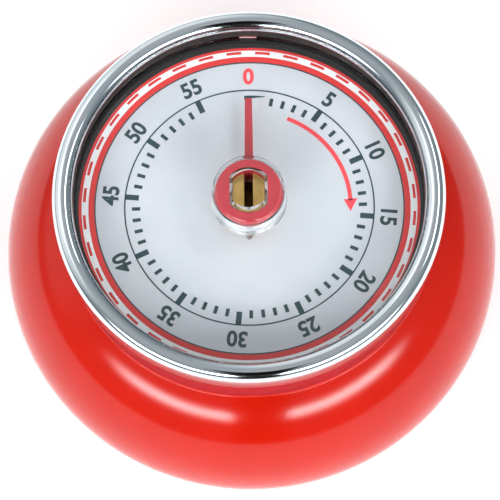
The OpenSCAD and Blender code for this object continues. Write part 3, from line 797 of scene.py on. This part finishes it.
SPINDLE_R, FLATS_W, SLOT_W, SLOT_DEPTH = 2.75, 4.4, 1.2, 3.5
LENS_Z, LENS_TOP = bottom("lens"), ROLL_Z - 1.8
FIT_GAP = 0.05
BOSS_TOP, BOSS_R, BOSS_TAPER, BOSS_ROOM_R = top("lens"), 5.3, 0.35, 4.6
SOCKET_R, SOCKET_W = SPINDLE_R + 0.55, FLATS_W + 0.76
HUB_TOP, HUB_H = top("pointer"), 2.0
HUB_LEG_W = 3.0
HAND_HALF_W, HAND_SPREAD = 0.5, 1.3
PIVOT_R, COLLAR_R, COLLAR_Z, COLLAR_H = 1.5, 3.8, 20.2, 0.8


def double_d(r, across, z1, z2):
    """Round bar with two flats that face left and right."""
    bm = bmesh.new()
    bmesh.ops.create_circle(bm, cap_ends=True, radius=r, segments=96)
    for side in (-1, 1):
        bmesh.ops.bisect_plane(
            bm,
            geom=bm.verts[:] + bm.edges[:] + bm.faces[:],
            plane_co=(side * across / 2, 0, 0),
            plane_no=(side, 0, 0),
            clear_outer=True,
        )
    swept = bmesh.ops.extrude_face_region(bm, geom=bm.faces[:])
    raised = [g for g in swept["geom"] if isinstance(g, bmesh.types.BMVert)]
    bmesh.ops.translate(bm, vec=(0, 0, z2 - z1), verts=raised)
    bmesh.ops.translate(bm, vec=(0, 0, z1), verts=bm.verts)
    bmesh.ops.recalc_face_normals(bm, faces=bm.faces)
    return bm


def lens():
    """Clear disc with a tapered boss, which is cut out for the spindle and the pointer's hub."""
    disc_r = reach("lens")
    roof = HUB_TOP + FIT_GAP
    bm = outline(
        [
            (1.0, LENS_Z),
            (disc_r, LENS_Z, 0.1),
            (disc_r, LENS_TOP, 0.1),
            (BOSS_R, LENS_TOP, 0.15),
            (BOSS_R - BOSS_TAPER, BOSS_TOP, 0.6),
            (1.0, BOSS_TOP),
        ]
    )
    sweep_round(bm, 192)
    room = outline(
        [(1.0, LENS_Z - 1), (BOSS_ROOM_R, LENS_Z - 1), (BOSS_ROOM_R, roof, 0.25), (1.0, roof)]
    )
    sweep_round(room, 160)
    cut_out(room, double_d(SOCKET_R, SOCKET_W, LENS_Z - 2, BOSS_TOP + 2))
    cut_out(bm, room)
    cut_out(bm, double_d(SPINDLE_R + FIT_GAP, FLATS_W + 2 * FIT_GAP, LENS_Z - 1, BOSS_TOP + 1))
    made = piece("lens_clear", bm, "lens", [CLEAR], 30)
    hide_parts("lens")


lens()


def pointer():
    """Cap-shaped hub with a double-D mouth, a leg down its far side and a flat tapered hand."""
    hand_z = bottom("pointer")
    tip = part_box("pointer")[1].y / MM
    hub_r = BOSS_ROOM_R - FIT_GAP
    hub = outline(
        [
            (1.0, HUB_TOP - HUB_H),
            (hub_r, HUB_TOP - HUB_H, 0.15),
            (hub_r, HUB_TOP, 0.3),
            (1.0, HUB_TOP),
        ]
    )
    sweep_round(hub, 128)
    mouth_r = SOCKET_R + FIT_GAP
    cut_out(hub, double_d(mouth_r, SOCKET_W + 2 * FIT_GAP, HUB_TOP - HUB_H - 1, HUB_TOP + 1))
    leg = double_d(hub_r, HUB_LEG_W, hand_z + 0.02, HUB_TOP - HUB_H + 0.2)
    cut_out(leg, double_d(mouth_r, 2 * hub_r, hand_z - 1, HUB_TOP))
    bmesh.ops.bisect_plane(
        leg,
        geom=leg.verts[:] + leg.edges[:] + leg.faces[:],
        plane_co=(0, 1, 0),
        plane_no=(0, -1, 0),
        clear_outer=True,
    )
    hand = block(-HAND_HALF_W, HAND_HALF_W, SOCKET_R + 0.1, tip, hand_z, LENS_Z - 0.02)
    for v in hand.verts:
        if v.co.y < tip - 1:
            v.co.x *= HAND_SPREAD
    bevel_edges(hand, 0.12, 60)
    made = piece("pointer_hand", add(add(hub, leg), hand), "pointer", [POINTER_RED], 35)
    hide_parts("pointer")


pointer()


def spindle():
    """Brass spindle with two flats and a slotted top, its corners broken."""
    foot, crown = bottom("spindle"), top("spindle")
    shoulder = top("back_plate") + 0.2
    flats_z = top("front_plate") + 0.1
    lower = outline(
        [
            (0, foot),
            (PIVOT_R, foot, 0.15),
            (PIVOT_R, shoulder),
            (SPINDLE_R, shoulder, 0.1),
            (SPINDLE_R, COLLAR_Z),
            (COLLAR_R, COLLAR_Z, 0.1),
            (COLLAR_R, COLLAR_Z + COLLAR_H, 0.1),
            (SPINDLE_R, COLLAR_Z + COLLAR_H),
            (SPINDLE_R, flats_z, 0.1),
            (0, flats_z),
        ]
    )
    sweep_round(lower, 96)
    bar = double_d(SPINDLE_R, FLATS_W, flats_z, crown)
    cut_out(bar, block(-SLOT_W / 2, SLOT_W / 2, -4, 4, crown - SLOT_DEPTH, crown + 1))
    # Faces inside the slot take the near-black brass of painted shade.
    for face in bar.faces:
        middle = face.calc_center_median()
        in_slot = abs(middle.x) < SLOT_W / 2 + 0.01 and middle.z > crown - SLOT_DEPTH - 0.01
        face.material_index = int(in_slot)
    bevel_edges(bar, 0.13, 50)
    made = piece("spindle_brass", add(lower, bar), "spindle", [BRASS, SLOT_BRASS_PAINTED_SHADE], 35)
    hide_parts("spindle")


spindle()


# ---- Dial ----

# The painted face lies a little under the node's top, which leaves room for the print.
INK_T, INK_LIFT, INK_ROOM = 0.012, 0.003, 0.045
FACE_Z = DIAL_TOP - INK_ROOM
DIAL_HOLE_R = 3.05

# Radii of the print, from the rim inward.
# From MARGIN_IN out to the rim lies a dark ring of painted shade.
MARGIN_IN = 23.65
OUTER_RED, INNER_RED = (23.25, MARGIN_IN), (21.5, 22.3)
WHITE_BAND = (22.2, 23.4)
DASHES = (22.70, 23.08)
DARK_LINE, MARK_LINE = (21.3, 21.5), (17.15, 17.35)
FIFTH_MARK, MINUTE_MARK = (15.35, 17.2), (15.1, 16.25)
NUMERAL_R, ZERO_R = 19.3, 19.34
NUMERAL_SHAPE = 0.94
WEDGE_IN, WEDGE_OUT = 15.85, 16.45
ARROW_BAND, ARROW_HEAD = (13.7, 14.28), (13.05, 14.0, 14.95)

# Clockwise angles of the print, in degrees.
MARKS_ON = 5.5
DASH_STEP, DASH_START, DASH_SWEEP = 10, 2.4, 5.2
WEDGE_START, WEDGE_SWEEP = -2.2, 10.2
ARROW_START, ARROW_SWEEP = 22.5, 64.5
HEAD_START, HEAD_TIP = 86.0, 93.5


def dial_plate():
    """Painted plate with a rolled edge and the hole for the spindle."""
    edge = reach("dial")
    bm = outline(
        [
            (DIAL_HOLE_R, DIAL_Z),
            (edge, DIAL_Z, 0.08),
            (edge, FACE_Z, 0.12),
            (DIAL_HOLE_R, FACE_Z, 0.08),
        ]
    )
    sweep_round(bm, 192)
    made = piece("dial_plate", bm, "dial", [SILVER], 35)
    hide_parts("dial")


dial_plate()


def minute_angle(minute):
    """Clockwise angle of a minute mark: 0 is at the top and the rest stand a little further on."""
    return 6 * minute + (MARKS_ON if minute else 0.0)


def turn_to(bm, verts, degrees):
    """Turns points clockwise about the axis."""
    bmesh.ops.rotate(
        bm, matrix=Matrix.Rotation(math.radians(-degrees), 3, "Z"), cent=(0, 0, 0), verts=verts
    )


def flat_ring(bm, r1, r2, start=0.0, sweep=360.0, steps=180):
    """Flat band between two radii, sweep degrees clockwise from start; 0 is at the top."""
    edge = [bm.verts.new((0, r1, 0)), bm.verts.new((0, r2, 0))]
    made = bm.edges.new(edge)
    turn_to(bm, edge, start)
    bmesh.ops.spin(
        bm,
        geom=edge + [made],
        cent=(0, 0, 0),
        axis=(0, 0, 1),
        angle=math.radians(-sweep),
        steps=steps,
        use_merge=sweep == 360.0,
        use_duplicate=False,
    )


def bar_at(bm, r1, r2, width, minute):
    """Flat radial bar at a minute mark."""
    grid = bmesh.ops.create_grid(bm, x_segments=1, y_segments=1, size=0.5)["verts"]
    bmesh.ops.scale(bm, vec=(width, r2 - r1, 1), verts=grid)
    bmesh.ops.translate(bm, vec=(0, (r1 + r2) / 2, 0), verts=grid)
    turn_to(bm, grid, minute_angle(minute))


def print_layer(name, bm, ink, level):
    """Gives flat print its thickness and lays it on the dial."""
    bmesh.ops.remove_doubles(bm, verts=bm.verts, dist=1e-5)
    bmesh.ops.recalc_face_normals(bm, faces=bm.faces)
    down = [f for f in bm.faces if f.normal.z < 0]
    bmesh.ops.reverse_faces(bm, faces=down)
    swept = bmesh.ops.extrude_face_region(bm, geom=bm.faces[:], use_keep_orig=True)
    raised = [g for g in swept["geom"] if isinstance(g, bmesh.types.BMVert)]
    bmesh.ops.translate(bm, vec=(0, 0, INK_T), verts=raised)
    bmesh.ops.recalc_face_normals(bm, faces=bm.faces)
    bmesh.ops.translate(bm, vec=(0, 0, FACE_Z + INK_LIFT + level * INK_T), verts=bm.verts)
    return piece(name, bm, "dial", [ink], 30)


def numeral(label, minute, height, radius, embolden):
    """A number as a flat mesh at a minute mark, its top outward and its strokes thickened."""
    curve = bpy.data.curves.new("numeral", "FONT")
    curve.body = label
    curve.align_x, curve.align_y = "CENTER", "CENTER"
    curve.size = 1.0
    curve.offset = embolden
    curve.resolution_u = 6
    shape = bpy.data.objects.new("numeral", curve)
    bpy.context.scene.collection.objects.link(shape)
    bpy.context.view_layer.update()
    seen = shape.evaluated_get(bpy.context.evaluated_depsgraph_get())
    mesh = bpy.data.meshes.new_from_object(seen)
    bm = bmesh.new()
    bm.from_mesh(mesh)
    bpy.data.objects.remove(shape)
    bpy.data.curves.remove(curve)
    bpy.data.meshes.remove(mesh)
    ys = [v.co.y for v in bm.verts]
    xs = [v.co.x for v in bm.verts]
    scale = height / (max(ys) - min(ys))
    bmesh.ops.translate(
        bm, vec=(-(max(xs) + min(xs)) / 2, -(max(ys) + min(ys)) / 2, 0), verts=bm.verts
    )
    bmesh.ops.scale(bm, vec=(scale * NUMERAL_SHAPE, scale, 1), verts=bm.verts)
    bmesh.ops.translate(bm, vec=(0, radius, 0), verts=bm.verts)
    turn_to(bm, bm.verts, minute_angle(minute))
    return bm


def dial_print():
    """White band, red rings and dashes, a dark ring of painted shade at the rim, minute marks,
    numerals and arrow.
    """
    white = bmesh.new()
    flat_ring(white, *WHITE_BAND)
    print_layer("print_white_band", white, INK_WHITE, 0)

    red = bmesh.new()
    flat_ring(red, *INNER_RED)
    flat_ring(red, *OUTER_RED)
    for k in range(360 // DASH_STEP):
        flat_ring(red, *DASHES, DASH_STEP * k + DASH_START, DASH_SWEEP, 4)
    print_layer("print_red_rings", red, INK_RED, 1)

    dark = bmesh.new()
    flat_ring(dark, *MARK_LINE)
    flat_ring(dark, *DARK_LINE)
    for minute in range(1, 56):
        if minute % 5:
            bar_at(dark, *MINUTE_MARK, 0.50, minute)
        else:
            bar_at(dark, *FIFTH_MARK, 0.78, minute)
    print_layer("print_minute_marks", dark, INK_DARK, 1)

    # Dark ring of painted shade where the dial meets the bezel's wall.
    margin = bmesh.new()
    flat_ring(margin, MARGIN_IN, reach("dial") - 0.15)
    print_layer("print_dark_margin", margin, INK_BLACK_PAINTED_SHADE, 1)

    wedge = bmesh.new()
    flat_ring(wedge, WEDGE_IN, WEDGE_OUT, WEDGE_START, WEDGE_SWEEP, 12)
    for v in wedge.verts:
        r, a = math.hypot(v.co.x, v.co.y), math.degrees(math.atan2(v.co.x, v.co.y))
        if r < (WEDGE_IN + WEDGE_OUT) / 2:
            v.co *= (WEDGE_IN + 0.5 * (a - WEDGE_START) / WEDGE_SWEEP) / r
    print_layer("print_zero_wedge", wedge, INK_DARK, 1)

    numbers = bmesh.new()
    for minute in range(5, 60, 5):
        add(numbers, numeral(str(minute), minute, 2.35, NUMERAL_R, 0.03))
    print_layer("print_numerals", numbers, INK_DARK, 1)
    print_layer("print_zero", numeral("0", 0, 2.45, ZERO_R, 0.035), INK_ROSE, 1)

    arrow = bmesh.new()
    flat_ring(arrow, *ARROW_BAND, ARROW_START, ARROW_SWEEP, 40)
    near, middle, far = ARROW_HEAD
    corners = []
    for r, degrees in ((near, HEAD_START), (far, HEAD_START), (middle, HEAD_TIP)):
        a = math.radians(degrees)
        corners.append(arrow.verts.new((r * math.sin(a), r * math.cos(a), 0)))
    arrow.faces.new(corners)
    print_layer("print_arrow", arrow, INK_ROSE, 1)


dial_print()


# ---- Nodes that show their CAD shape, and springs cut into short lengths ----

SPRING_CUTS = 24

# The nodes that a piece stands in for get their finish too.
for node, part in frame["nodes"].items():
    # The lens clip takes the near-black of painted shade.
    finish = BLACKENED_PAINTED_SHADE if node == "lens_clip" else FINISH_OF_SLOT[SLOT_OF[node]]
    if part.material_slots:
        for slot in part.material_slots:
            slot.material = finish
    else:
        part.data.materials.append(finish)


def return_spring(node):
    """Wire spring cut into short lengths from its foot in the plate to its tip, left free of any
    body.
    """
    bm = bmesh.new()
    bm.from_mesh(frame["nodes"][node].data)
    bmesh.ops.remove_doubles(bm, verts=bm.verts, dist=1e-7)
    bmesh.ops.scale(bm, vec=(1 / MM,) * 3, verts=bm.verts)
    highest = max(v.co.z for v in bm.verts)
    rim = [v.co for v in bm.verts if v.co.z > highest - 0.01]
    foot = sum(rim, Vector()) / len(rim)
    tip = max((v.co.copy() for v in bm.verts), key=lambda co: (co - foot).xy.length)
    foot.z = tip.z
    for cut in range(1, SPRING_CUTS):
        bmesh.ops.bisect_plane(
            bm,
            geom=bm.verts[:] + bm.edges[:] + bm.faces[:],
            plane_co=foot.lerp(tip, cut / SPRING_CUTS),
            plane_no=tip - foot,
        )
    wire = piece(node + "_wire", bm, node, [STEEL], 40, rides=False)
    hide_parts(node)
    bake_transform(wire)


return_spring("hammer_spring")
return_spring("trip_spring")


# ---- Floor and light ----

FLOOR_GLOW = 0.36
ROOM_LIGHT = 0.33
WINDOW_LIGHT = 57.0
LEFT_LIGHT = 2.8
FIGURE_HALF_HEIGHT = math.radians(42)
FIGURE_RISE = 0.78
WINDOW_LOW, WINDOW_MIDDLE, WINDOW_HIGH = 17, 30, 43

# Soft edges, as cosines of the angle from a direction.
FIGURE_SIDES, WINDOW_SIDES, WINDOW_FRONT = (0.13, 0.20), (0.72, 0.9), (0.30, 0.62)
LEFT_WALL_EDGE, LEFT_WALL_FOOT = (0.55, 0.85), (0.05, 0.25)


def paper_floor():
    """White paper that glows a little, so that it stays white under soft light."""
    f = Finish("paper_floor")
    tooth = f.noise(6.0, 4.0)
    finish = f.surface(
        f.principled(
            Base_Color=f.mix(tooth, (0.93, 0.93, 0.93), (0.90, 0.90, 0.90)),
            Roughness=0.9,
            Specular_IOR_Level=0.1,
            Emission_Color=(1.0, 1.0, 1.0),
            Emission_Strength=FLOOR_GLOW,
            Normal=f.bump(tooth, 0.02, 0.2),
        )
    )
    bm = bmesh.new()
    bmesh.ops.create_grid(bm, x_segments=1, y_segments=1, size=2.0)
    bmesh.ops.translate(bm, vec=(0, 0, cad_box[0][2] - 0.00005), verts=bm.verts)
    mesh = bpy.data.meshes.new("floor")
    bm.to_mesh(mesh)
    bm.free()
    mesh.materials.append(finish)
    floor = bpy.data.objects.new("floor", mesh)
    bpy.context.scene.collection.objects.link(floor)


def softbox(name, azimuth, elevation, distance, width, height, watts):
    """Rectangular lamp that faces the timer, from an azimuth and an elevation in degrees."""
    a, e = math.radians(azimuth), math.radians(elevation)
    away = Vector((math.cos(a) * math.cos(e), math.sin(a) * math.cos(e), math.sin(e)))
    lamp = bpy.data.lights.new(name, "AREA")
    lamp.shape, lamp.size, lamp.size_y = "RECTANGLE", width, height
    lamp.energy = watts
    made = bpy.data.objects.new(name, lamp)
    made.location = AIM + away * distance
    made.rotation_mode = "QUATERNION"
    made.rotation_quaternion = away.to_track_quat("Z", "Y")
    bpy.context.scene.collection.objects.link(made)


def studio_world():
    """Pale room with a soft window band at the front, parted by the dark figure at the camera."""
    world = bpy.data.worlds.new("studio")
    bpy.context.scene.world = world
    room = Finish("studio", world)
    way = room.coordinates["Generated"]
    up = room.node("ShaderNodeSeparateXYZ", None, {0: way})[2]

    def along(*direction):
        """How far the way looked in lies along a direction, as a cosine."""
        unit = tuple(Vector(direction).normalized())
        product = {"operation": "DOT_PRODUCT"}
        return room.node("ShaderNodeVectorMath", product, {0: way, 1: unit})["Value"]

    def height(degrees):
        return math.sin(math.radians(degrees))

    sky = room.node(
        "ShaderNodeValToRGB",
        {
            "stops": [
                (0.0, (0.80, 0.80, 0.80)),
                (0.48, (0.74, 0.81, 0.83)),
                (0.56, (0.52, 0.62, 0.68)),
                (0.78, (0.80, 0.93, 1.00)),
                (0.92, (1.10, 1.15, 1.20)),
                (1.0, (1.36, 1.40, 1.44)),
            ]
        },
        {0: up * 0.5 + 0.5},
    )["Color"]
    aside = along(towards_camera.y, -towards_camera.x, 0).maths("ABSOLUTE")
    level = math.hypot(*towards_camera.xy)
    before = along(towards_camera.x, towards_camera.y, FIGURE_RISE * level)
    figure = (1 - aside.over(*FIGURE_SIDES)) * before.over(
        math.cos(FIGURE_HALF_HEIGHT), math.cos(FIGURE_HALF_HEIGHT - 0.1)
    )
    front = along(towards_camera.x, towards_camera.y, 0)
    rise = up.over(height(WINDOW_LOW), height(WINDOW_MIDDLE))
    fall = 1 - up.over(height(WINDOW_MIDDLE), height(WINDOW_HIGH))
    band = rise * fall
    window = band * band * band * front.over(*WINDOW_FRONT) * (1 - aside.over(*WINDOW_SIDES))
    left_wall = along(-0.8, 0.75, 0.4).over(*LEFT_WALL_EDGE) * up.over(*LEFT_WALL_FOOT)
    sky = room.mix(left_wall, sky, (LEFT_LIGHT, LEFT_LIGHT * 1.02, LEFT_LIGHT * 1.03))
    bright = room.mix(window, sky, (WINDOW_LIGHT,) * 3)
    shade = room.mix(figure, bright, (0.01, 0.01, 0.012))
    back = room.node("ShaderNodeBackground", {}, {"Color": shade, "Strength": ROOM_LIGHT})[0]
    out = room.node("ShaderNodeOutputWorld")
    room.tree.links.new(back.socket, out.made.inputs["Surface"])


paper_floor()
studio_world()
softbox("softbox_far_left", 142, 55, distance=1.1, width=0.62, height=0.44, watts=0.4)
softbox("softbox_far_right", 28, 50, distance=1.1, width=0.60, height=0.18, watts=1.2)

bpy.context.scene.view_settings.view_transform = "Standard"
